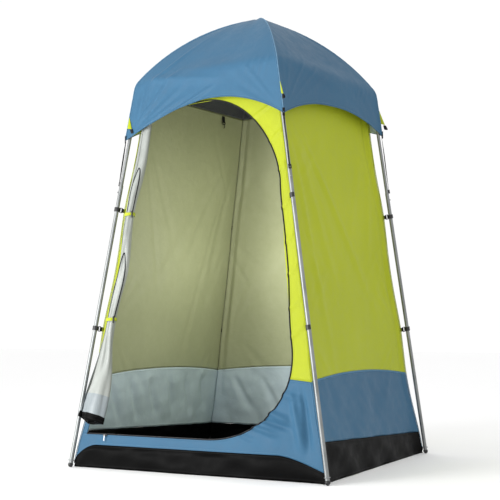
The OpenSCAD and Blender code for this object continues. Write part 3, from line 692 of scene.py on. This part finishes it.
def front_relief(x, z):
    """How far the front wall's cloth stands out: ripples, puckers and pulls beside the zip."""
    share = x / wall_width(FRONT, z)
    relief = ripple(x, z, 21, 0.30, 0.0012) + ripple(x, z * 0.6, 22, 0.12, 0.0006)
    for start, end, height, width in PUCKERS:
        relief += fold(x, z, start, end, height, width, 0.35, 0.8)
    for pull in PULLS_Z:
        right = float(wall_width(FRONT, np.array(pull)))
        left = right - float(door_margin(np.array(pull)))
        relief += fold(x, z, (left - 0.03, pull - 0.03), (right + 0.03, pull + 0.10), 0.0042, 0.0110)
    return relief * off_ends(share, 0.012) * smooth((WALL_TOP - z) / 0.05)


def patch(name, x, z, outer, inner):
    s = x / wall_width(FRONT, z)
    return cloth(name, on_wall(FRONT, s, z, front_relief(x, z)), outer, inner)


def front_lower():
    """Blue part of the front: a strip under the doorway that rises to the seam at its right."""
    path = door_path()
    lower = path[path[:, 1] < SEAM_END + 0.02]
    outline = lower[:, 0] / wall_width(FRONT, lower[:, 1])
    s = wall_shares(190)
    bottom = skirt_top(FRONT, s)
    # beside the doorway the blue ends at its outline, and right of it at the seam
    top = np.where(s > outline.max(), np.inf, np.interp(s, outline, lower[:, 1]))
    top = np.minimum(top, seam_z(s))
    z = bottom + (top - bottom) * np.linspace(0, 1, 46)[:, None]
    obj = patch("front_wall_lower_cloth", s * wall_width(FRONT, z), z, BLUE, BLUE_IN)
    settle(obj, "blue_cloth", "front_wall_lower", "front_wall_sill")


def front_upper():
    """Green part of the front: the strip between the doorway and the right corner."""
    corner = SEAM_END + 0.006
    rows = np.concatenate([np.linspace(0, 0.62, 66)[:-1], 1 - 0.38 * (1 - np.linspace(0, 1, 74)) ** 1.7])
    level = corner + (DOOR_Z1 - corner) * rows[:, None]
    width = wall_width(FRONT, level)
    left = width - door_margin(level)
    x = left + ((1 - CORNER_GAP) * width - left) * np.linspace(0, 1, 34)[None, :] ** 1.25
    # the lowest rows follow the seam's arch
    z = level + (seam_z(x / width) - corner) * smooth((0.62 - level) / 0.15)
    obj = patch("front_wall_upper_cloth", x, z, GREEN, GREEN_IN)
    settle(obj, "green_cloth", "front_wall_upper")


def front_edges():
    """The band over the doorway, and the two-coloured strip at its hinge side."""
    z = np.linspace(DOOR_Z1 - 0.004, WALL_TOP, 12)[:, None] * np.ones((1, 90))
    x = wall_shares(90)[None, :] * wall_width(FRONT, z)
    obj = patch("front_wall_header_cloth", x, z, GREEN, GREEN_IN)
    settle(obj, "green_cloth", "front_wall_edging")
    for part, z0, z1, outer, inner, slot in (("upper", SEAM_END, DOOR_Z1, GREEN, GREEN_IN, "green_cloth"),
                                             ("lower", DOOR_Z0, SEAM_END, BLUE, BLUE_IN, "blue_cloth")):
        z = np.linspace(z0, z1, 110)[:, None] * np.ones((1, 6))
        x = np.linspace(0.003, DOOR_LEFT, 6)[None, :] * np.ones((110, 1))
        obj = patch(f"front_hinge_strip_{part}_cloth", x, z, outer, inner)
        settle(obj, slot)


def skirt():
    """Black sides of the bathtub floor, which lean on the ground and bulge a little."""
    for k in range(4):
        s = np.linspace(0, 1, 130)[None, :]
        t = np.linspace(0, 1, 22)[:, None]
        z = 0.003 + (skirt_top(k, s) - 0.003) * t
        ss = np.broadcast_to(s, z.shape)
        x = ss * wall_width(k, z)
        waves = ripple(x, z * 2.0, 140 + k, 0.36, 0.0060) + ripple(x, z * 2.4, 150 + k, 0.16, 0.0018)
        relief = (waves * smooth((1 - t) / 0.25) + 0.004 * arch(t)) * off_ends(ss, 0.03)
        obj = cloth(f"floor_skirt_{SIDES[k]}_cloth", on_wall(k, ss, z, relief), FLOOR_BLACK, FLOOR_BLACK)
        settle(obj, "black_floor", *(("floor_skirt",) if k == RIGHT else ()))


def floor_sheet():
    """The wrinkled black floor, flat along its edges."""
    a = np.linspace(0, 1, 120)[None, :, None]
    b = a.reshape(-1, 1, 1)
    c = [leg(k, np.array(0.0), -WALL_INSET)[:2] for k in range(4)]
    x, y = np.split(between(between(c[3], c[0], a), between(c[2], c[1], a), b), 2, -1)
    lift = 0.004 + np.abs(ripple(x, y, 160, 0.30, 0.004) + ripple(x, y, 161, 0.10, 0.0015))
    z = 0.0022 + lift * np.minimum(off_ends(a, 0.03), off_ends(b, 0.03))
    obj = cloth("floor_sheet_cloth", np.concatenate([x, y, z], -1), FLOOR_BLACK, FLOOR_BLACK)
    settle(obj, "black_floor", "floor_sheet")


def seam_trims():
    """Piping down the corners, and the flat-felled seams between the colours."""
    for name, z0, z1, rows, finish, slot in (("upper", SEAM_END, WALL_TOP, 130, PIPING_GREEN, "green_cloth"),
                                             ("lower", 0.035, SEAM_END, 40, PIPING, "blue_cloth")):
        z = np.linspace(z0, z1, rows)
        parts = [tube_arrays(wall(k, 0.0, z, 0.0022), 0.0017, 6) for k in range(4)]
        trim(f"corner_piping_{name}", parts, finish, slot)
    parts = []
    s = np.linspace(0.004, 0.996, 120)
    for k in (RIGHT, BACK, LEFT):
        z = seam_z(s)
        width = wall_width(k, z)
        p = wall(k, s, z)
        outward = unit(np.cross(np.gradient(p, axis=0), UP))
        up = unit(wall(k, s, z + 0.01) - p)
        p = p + outward * (wall_relief(k, s * width, z, width) + 0.0008)[:, None]
        parts.append(strap_arrays(p, up, 0.009, 0.0014))
    trim("colour_seams", parts, PIPING, "blue_cloth")


# ---- doorway: zip and door bundle
# rows of the zip's tape, as distances outward from the doorway's edge; the coil runs on the second
TAPE_ROWS = (-0.0015, 0.0005, 0.0025, 0.0048)


def zip_pieces():
    """Tape round the doorway and the coil on it."""
    path = door_path(0.004)
    rows = []
    for grow in TAPE_ROWS:
        x, z = door_band(path, grow).T
        rows.append(wall(FRONT, x / wall_width(FRONT, z), z))
    grid = np.stack(rows)
    n = grid_normals(grid)
    outward = np.where(n[..., 1:2] > 0, -n, n)
    grid = grid + outward * (0.0014 + front_relief(*path.T))[:, None]
    tape = cloth("zip_track_tape", grid[::-1], ZIP_TAPE, ZIP_TAPE, t=0.0010)
    settle(tape, "zip_tape", "zip_track")
    fine = resample(grid[1], 0.001)
    teeth = 0.00125 + 0.00045 * np.cos(np.arange(len(fine)) * math.pi)
    coil = tube_arrays(fine + outward[1].mean(0) * 0.0012, teeth, 6)
    trim("zip_track_coil", [coil], COIL, "zip_tape")


def bundle_centre(z):
    """The CAD bundle's centre line, in front of the wall beside the front left leg."""
    share = BUNDLE_IN / np.linalg.norm(leg(0, z, -WALL_INSET) - leg(3, z, -WALL_INSET), axis=-1)[..., None]
    off = BUNDLE_OFF - WALL_INSET
    return between(leg(3, z, off), leg(0, z, off), share)


def roll_start(h):
    """Angle at which the roll's outer edge lies at height h."""
    return 2.4 + 0.5 * math.sin(3.0 * h)


def wrapped(angle):
    """The same angle between -pi and pi."""
    return np.angle(np.exp(1j * angle))


def roll_section(h, q):
    """A slice through the rolled door at height h: points a share q of the way from its outer edge
    to its core, across the bundle and towards the front."""
    nip = max(bell(h, at, 0.070) for at in TIE_Z)
    near_tie = max(bell(h, at, 0.13) for at in TIE_Z)
    flare = float(smooth((TIE_Z[0] - 0.05 - h) / 0.40))
    slack = bell(h, 0.93, 0.17) + 0.5 * bell(h, 1.42, 0.2)
    half = (0.022 + 0.005 * slack + 0.045 * flare) * (1 - nip) + 0.0195 * nip
    depth = (0.018 + 0.007 * slack + 0.009 * flare) * (1 - nip) + 0.0190 * nip
    turn = 2 * math.pi * ROLL_TURNS * q + roll_start(h)
    dents = 0.10 * np.sin(3 * turn + 8 * h + 1.0) + 0.15 * np.sin(2 * turn - 7 * h)
    dents = 0.09 * near_tie * np.cos(5 * turn + 5 * h) + (1 - near_tie) * dents
    bulge = wrapped(turn - 1.2 - 3.2 * (TIE_Z[0] - h))
    dents += flare * 0.20 * (bell(bulge, 0, 0.20) - bell(bulge, -0.45, 0.24))
    # pockets where the slack cloth folds in on itself below each tie
    facing = wrapped(turn - 1.30)
    for at in POCKETS:
        dents += bell(h, at, 0.085) * (0.16 * bell(facing, -0.85, 0.30) - 0.42 * bell(facing, 0, 0.42))
    # the outer edge stands a little open
    swell = (1 - 0.64 * q) * (1 + dents) * (1 + 0.22 * flare * bell(q, 0, 0.06))
    return half * swell * np.cos(turn), depth * swell * np.sin(turn)


def bundle_frames(z):
    """Centre line of the draped bundle and the directions of its slices (side, front, along it)."""
    along = unit(leg(0, z) - leg(3, z))
    out = unit(np.cross(along, UP))
    lean = 0.030 * smooth((0.52 - z) / 0.34) - 0.010 * smooth((z - 1.25) / 0.3)
    slack = bell(z, 0.93, 0.14) + 0.5 * bell(z, 1.42, 0.12)
    shift = 0.020 * slack + 0.008 * smooth((0.60 - z) / 0.25) + 0.002 * np.sin(5 * z)
    centre = bundle_centre(z) + out * lean[:, None] + along * shift[:, None]
    tangent = unit(np.gradient(centre, axis=0))
    side = unit(along - tangent * np.sum(along * tangent, -1, keepdims=True))
    return centre, side, np.cross(side, tangent), tangent


def door_bundle():
    """The door rolled back to its hinge side and held by two ties; it flares towards its foot."""
    z = np.concatenate([np.linspace(BUNDLE_FOOT, 0.60, 70)[:-1], np.linspace(0.60, BUNDLE_TOP, 125)])
    centre, side, front, tangent = bundle_frames(z)
    q = np.linspace(0, 1, 230)
    grid = []
    for i, h in enumerate(z):
        x, y = roll_section(h, q)
        foot = smooth((0.42 - h) / 0.22)
        hang = foot * (-0.012 * q - 0.010 * np.sin(2 * math.pi * ROLL_TURNS * q + 0.6) - 0.24 * x)
        grid.append(centre[i] + np.outer(x, side[i]) + np.outer(y, front[i]) + np.outer(hang, tangent[i]))
    p = np.array(grid)
    blue = (int(np.searchsorted(z, BLUE_TOP)), SILVER_BLUE, SILVER_BLUE)
    obj = cloth("door_bundle_cloth", p, SILVER, SILVER, t=0.0010, band=blue)
    settle(obj, "silver_lining", "door_bundle")
    p = p[: int(np.searchsorted(z, BUNDLE_FOOT + HEM_WIDTH)) + 1]
    hem = cloth("door_bundle_hem", p + grid_normals(p) * 0.0009, FLOOR_BLACK, FLOOR_BLACK, t=0.0028)
    settle(hem, "black_floor")


def door_edge_tape():
    """The door's zipped edge, which shows on the bundle as a loop above each tie."""
    parts = []
    t = np.linspace(0, 1, 70)
    for tie, top in zip(TIE_Z, EDGE_LOOP_TOPS):
        heights = tie + 0.012 + (top - tie) * arch(t) ** 0.36
        levels = np.linspace(tie, top + 0.01, 90)
        centre, side, front, _ = bundle_frames(levels)
        rows = np.round(np.interp(heights, levels, np.arange(90))).astype(int)
        path = []
        for i, angle, h in zip(rows, 2.15 - 1.75 * t, heights):
            turn = (angle - roll_start(h)) % (2 * math.pi)
            x, y = roll_section(h, np.array([turn / (2 * math.pi * ROLL_TURNS)]))
            path.append(centre[i] + 1.07 * (side[i] * x[0] + front[i] * y[0]))
        path = rounded(np.array(path), 6)
        across = unit(np.cross(np.gradient(path, axis=0), unit(path - centre[rows])))
        parts.append(strap_arrays(path, across, 0.0052, 0.0016))
    trim("door_edge_tape", parts, ZIP_TAPE, "zip_tape")


def tie_bands():
    """Green loops that gather the door: a band round the bundle and a tail to the corner."""
    parts = []
    for tie in TIE_Z:
        z = np.array(tie)
        c = bundle_centre(z)
        along = unit(leg(0, z) - leg(3, z))
        out = np.cross(along, UP)
        a = np.linspace(0, 2 * math.pi, 60)
        r = 0.0246 + 0.0006 * np.sin(3 * a + tie)
        ring = c + np.outer(r * np.cos(a), along) + np.outer(r * np.sin(a), out)
        ring[:, 2] += 0.0022 * np.sin(a + 1)
        tail = np.linspace(wall(FRONT, 0.004, tie), c - along * 0.017 - out * 0.0185, 12)
        tail = tail + np.outer(np.sin(np.linspace(0, math.pi, 12)) * 0.003, out)
        parts += [strap_arrays(ring, UP, 0.015, 0.0014), strap_arrays(tail, UP, 0.015, 0.0014)]
    trim("door_tie_bands", parts, GREEN_TAPE, "green_cloth", "door_ties")


# ---- ceiling
def net_ceiling():
    """Net pyramid under the roof rods, sagging between its edges and its middle."""
    s = np.linspace(0, 1, 60)[None, :, None]
    t = np.linspace(0, 0.985, 40)[:, None, None]
    for k in range(4):
        a, b = wall(k, 0.0, WALL_TOP + 0.001), wall(k, 1.0, WALL_TOP + 0.001)
        p = between(between(a, b, s), NET_PEAK, t)
        p[..., 2:] -= 0.035 * arch(t) * (0.6 + 0.4 * arch(s))
        obj = cloth(f"net_ceiling_{SIDES[k]}_cloth", p, NET, NET, t=0.0007)
        settle(obj, "black_net", *(("net_ceiling",) if k == RIGHT else ()))


# ---- rain fly
def ridge(t):
    """(radius, height) of the fly over the roof rod's side arc, a share t from the peak to the shoulder."""
    off = RIDGE_OFF_TOP + (RIDGE_OFF_LOW - RIDGE_OFF_TOP) * t
    r_shoulder = float(np.linalg.norm(HEAD))
    jx, jz = PEAK_BEND_R * math.sin(PEAK_BEND), ROD_PEAK_Z - PEAK_BEND_R * (1 - math.cos(PEAK_BEND))
    fall = math.atan2(jz - SHOULDER_Z, r_shoulder - jx)
    radius = math.hypot(r_shoulder - jx, SHOULDER_Z - jz) / 2 / math.sin(fall - PEAK_BEND)
    cx, cz = jx - radius * math.sin(PEAK_BEND), jz - radius * math.cos(PEAK_BEND)
    a = PEAK_BEND + (2 * fall - 2 * PEAK_BEND) * t
    return cx + (radius + off) * np.sin(a), cz + (radius + off) * np.cos(a)


def fly_ridge_line(k):
    """Ridge of corner k from its tip up to the peak, as one smooth line."""
    r, z = ridge(np.linspace(1, 0, 60))
    a = np.linspace(PEAK_BEND, 0, 12)[1:]
    bend = PEAK_BEND_R + RIDGE_OFF_TOP
    r = np.concatenate([r, bend * np.sin(a)])
    z = np.concatenate([z, ROD_PEAK_Z - PEAK_BEND_R + bend * np.cos(a)])
    flat = turned(HEAD / np.linalg.norm(HEAD), 90 * k)
    roof = np.stack([flat[0] * r, flat[1] * r, z], 1)
    below = leg(k, np.linspace(TIP_Z[k], z[0], 26)[:-1], RIDGE_OFF_LOW)
    return rounded(resample(np.concatenate([below, roof]), count=150), 10)


def hem_lift(k, s):
    """Rise of side k's hem above the straight line between its two tips."""
    middle = (TIP_Z[k] + TIP_Z[(k + 1) % 4]) / 2
    # over the doorway the hem runs up from the left tip in a long slant
    power = np.where(s < 0.5, 1.5, 2.4) if k == FRONT else 2.2
    return (HEM_MID_Z[k] - middle) * (1 - np.abs(2 * s - 1) ** power)


def fly_relief(k, s, z):
    """How far the fly's cloth stands out: the pull over the eave, ripples, and folds from both tips."""
    u = s * FLY_SPAN
    hold = off_ends(s, 0.05)
    body = arch(s)
    above = smooth((z - EAVE_Z) / 0.10)
    relief = body * (0.010 * bell(z, EAVE_Z, 0.05) - 0.012 * above * smooth((PEAK_Z - z) / 0.2)
                     - 0.006 * (1 - above))
    relief += ripple(u, z, 200 + k, 0.30, 0.0016) * hold
    near, far = TIP_Z[k], TIP_Z[(k + 1) % 4]
    taut = 1.0 if k == FRONT else 0.3
    folds = fan(u, z, (0.0, near), (17, 24, 31, 39, 52, 68), 0.56, 0.0080, 0.0095, 210 + k, 0.08)
    folds += fan(u, z, (FLY_SPAN, far), (158, 147, 136, 122), 0.40, 0.0036, 0.012, 220 + k, 0.15)
    # puckers beside the right ridge, and one long crease across the eave
    for i in range(4):
        x0 = 0.655 + 0.038 * i
        folds += fold(u, z, (x0 - 0.03, 1.735), (x0 + 0.05, 1.90), 0.0030, 0.0095, 0.5)
    folds += fold(u, z, (0.02, 1.87), (0.58, 1.79), 0.0060, 0.026)
    relief += taut * folds * hold
    # two creases that run close beside the left ridge
    for x0 in (0.030, 0.062):
        relief += taut * fold(u, z, (x0, near + 0.03), (x0 + 0.012, 1.86), 0.0040, 0.0075)
    return relief


def fly_gore(k):
    """One quarter of the fly: hung between two ridges, with an arched hem."""
    a, b = fly_ridge_line(k), fly_ridge_line((k + 1) % 4)
    s = np.linspace(0, 1, 96)
    p = between(a[:, None], b[:, None], s[:, None])
    # squeeze the rows below the eave so that the lowest follows the hem
    grid = np.empty_like(p)
    for j, share in enumerate(s):
        col = p[:, j]
        z = col[:, 2] + hem_lift(k, share) * np.clip((EAVE_Z - col[:, 2]) / (EAVE_Z - col[0, 2]), 0, 1)
        grid[:, j] = np.stack([np.interp(z, col[:, 2], col[:, i]) for i in range(3)], 1)
    ss = np.broadcast_to(s, grid.shape[:2])
    grid = grid + grid_normals(grid) * fly_relief(k, ss, grid[..., 2])[..., None]
    du = np.minimum(ss, 1 - ss) * np.linalg.norm(b - a, axis=1)[:, None]
    rise = distances(grid, 0)
    along = np.where(du < rise, rise, ss * FLY_SPAN)
    obj = cloth(f"fly_{SIDES[k]}_cloth", grid, BLUE, BLUE_IN, edge=np.minimum(du, rise), along=along)
    settle(obj, "blue_cloth", f"fly_{SIDES[k]}", body="rain_fly")
    return grid


def fly_trims(grids):
    """Ridge piping with a thread's pucker, coloured paler as a painted highlight along the ridges, and the
    hem's binding.
    """
    parts = []
    for k in range(4):
        line = resample(fly_ridge_line(k), 0.006)
        n = np.arange(len(line))
        out = unit(line * (1, 1, 0))
        r = 0.0021 + 0.0004 * np.sin(n * 0.9) * np.sin(n * 0.23 + k)
        parts.append(tube_arrays(line + out * 0.0006, r, 7))
    trim("fly_ridge_piping", parts, RIDGE_PIPING_PAINTED_HIGHLIGHT, "blue_cloth", body="rain_fly")
    hems = [tube_arrays(resample(g[0], 0.008), 0.0020, 7) for g in grids]
    trim("fly_hem_binding", hems, BLUE, "blue_cloth", body="rain_fly")


def fly_corner_frame(k, z, off):
    """(point, outward, tangent) on the fly's corner line."""
    p = leg(k, np.array(z), off)
    out = unit(p * (1, 1, 0))
    return p, out, np.cross(UP, out)


# for each corner's tab: its sewn edge's two heights above the tip, its reach, and where it has flopped
TAB_LOW = (0.088, 0.060, 0.060, 0.060)
TAB_HIGH = (0.150, 0.135, 0.135, 0.122)
TAB_REACH = (0.024, 0.026, 0.026, 0.034)
TAB_TURN = (10, 15, 30, 131)
def guy_tab(k):
    """(tab cloth, webbing loop) of corner k."""
    low, out, side = fly_corner_frame(k, TIP_Z[k] + TAB_LOW[k], RIDGE_OFF_LOW + 0.0015)
    high, _, _ = fly_corner_frame(k, TIP_Z[k] + TAB_HIGH[k], RIDGE_OFF_LOW + 0.0015)
    a = math.radians(TAB_TURN[k])
    reach = out * math.cos(a) + side * math.sin(a)
    across = np.cross(reach, UP)
    t = np.linspace(0, 1, 16)[:, None]
    inner = low + (high - low) * t
    tip = low + reach * TAB_REACH[k] - 0.006 * UP
    outer = tip + (high - tip) * t ** 0.8
    w = np.linspace(0, 1, 8)[None, :, None]
    grid = between(inner[:, None], outer[:, None], w)
    bow = arch(w[..., 0]) * (1 - t) * 0.005
    v, f, _ = sheet_arrays(grid + across * bow[..., None], 0.0016)
    s = np.linspace(0, math.pi, 24)
    fall = unit(reach * 0.45 - UP)
    loop = tip - reach * 0.004 + np.outer(np.sin(s) * 0.023, fall)
    loop = loop + np.outer(np.sin(s * 2) * 0.0036, across)
    return (v, f.tolist()), strap_arrays(loop, reach, 0.016, 0.0022)


def corner_strap(k):
    """The strap that pulls the tip down to its hook on the leg, and the patch it is sewn to."""
    top = TIP_Z[k] - 0.002
    z = np.linspace(top, STRAP_END_Z, 40)
    p = leg(k, z, 0.0125 + 0.0055 * (z - STRAP_END_Z) / (top - STRAP_END_Z))
    _, out, side = fly_corner_frame(k, 1.45, 0.0)
    p = p + side * (0.0010 * np.sin(z * 40))[:, None]
    # the strap twists on its way down
    twist = 0.15 + 0.35 * np.sin(np.linspace(0, math.pi, 40)) + (0.45 if k == 0 else 0.0)
    a = twist[:, None] * math.pi / 2
    cuff, _, _ = fly_corner_frame(k, TIP_Z[k] + 0.006, RIDGE_OFF_LOW + 0.0016)
    sewn = np.linspace(cuff + 0.016 * UP, cuff - 0.020 * UP, 8)
    return [strap_arrays(p, side * np.cos(a) + out * np.sin(a), 0.009, 0.0016),
            strap_arrays(sewn, side, 0.011 if k == 0 else 0.016, 0.0022)]


def guy_tabs():
    """Green tabs at the fly's corners with black loops, and the tension straps below the tips."""
    tabs, webbing = [], []
    for k in range(4):
        tab, loop = guy_tab(k)
        tabs.append(tab)
        webbing += [loop] + corner_strap(k)
    trim("fly_guy_tab_cloth", tabs, GREEN, "green_cloth", "fly_guy_tabs", body="rain_fly")
    trim("fly_webbing_straps", webbing, WEBBING, "black_webbing", "fly_webbing", body="rain_fly")


# ---- studio
def add_lamp(name, kind, place, power):
    data = bpy.data.lights.new(name, kind)
    data.energy = power
    obj = into_scene(name, data)
    obj.location = place
    return obj


def studio():
    """Pale floor, soft white surround, a broad lamp at the front left and a faint fill inside."""
    world = bpy.data.worlds.new("studio")
    bpy.context.scene.world = world
    world.use_nodes = True
    sky = world.node_tree.nodes["Background"]
    sky.inputs["Color"].default_value = (1, 1, 1, 1)
    sky.inputs["Strength"].default_value = 1.02
    place, aim = np.array([-2.2, -4.3, 1.5]), np.array([0, 0, 1.0])
    key = add_lamp("key_lamp", "AREA", place, 220)
    key.data.shape = "RECTANGLE"
    key.data.size = key.data.size_y = 2.2
    x, y, z = aim - place
    key.rotation_euler = (math.pi / 2 + math.atan2(z, math.hypot(x, y)), 0, math.atan2(y, x) - math.pi / 2)
    glow = add_lamp("cabin_glow", "POINT", (0.04, 0.06, 0.95), 7)
    glow.data.shadow_soft_size = 0.22
    glow.visible_camera = False
    ground = Nodes("studio_floor")
    pale = ground.mix(ground.noise(ground.place(), 3.0), (0.95, 0.95, 0.95), (0.97, 0.97, 0.97))
    corners = [(-30, -30, 0), (30, -30, 0), (30, 30, 0), (-30, 30, 0)]
    floor = put("studio_floor", corners, [(0, 1, 2, 3)], [ground.surface(pale, 0.9)])
    floor.location.z = -0.0005
    bpy.context.scene.view_settings.view_transform = "Standard"


def camera():
    """At the photographed view: low, in front of the right-hand corner, tilted up a little."""
    azimuth, distance, height = math.radians(26.822), 5.146, 0.613
    yaw, pitch = math.radians(0.423), math.radians(4.653)
    data = bpy.data.cameras.new("camera")
    data.sensor_width = 36.0
    data.lens = 74.60568
    obj = into_scene("camera", data)
    obj.location = (distance * math.sin(azimuth), -distance * math.cos(azimuth), height)
    obj.rotation_euler = (math.pi / 2 + pitch, 0, azimuth + yaw)
    bpy.context.scene.camera = obj


camera()
studio()
dress_cad_nodes()
for side in range(3):
    side_wall(side)
front_lower()
front_upper()
front_edges()
skirt()
floor_sheet()
seam_trims()
zip_pieces()
door_bundle()
door_edge_tape()
tie_bands()
net_ceiling()
fly_trims([fly_gore(side) for side in range(4)])
guy_tabs()
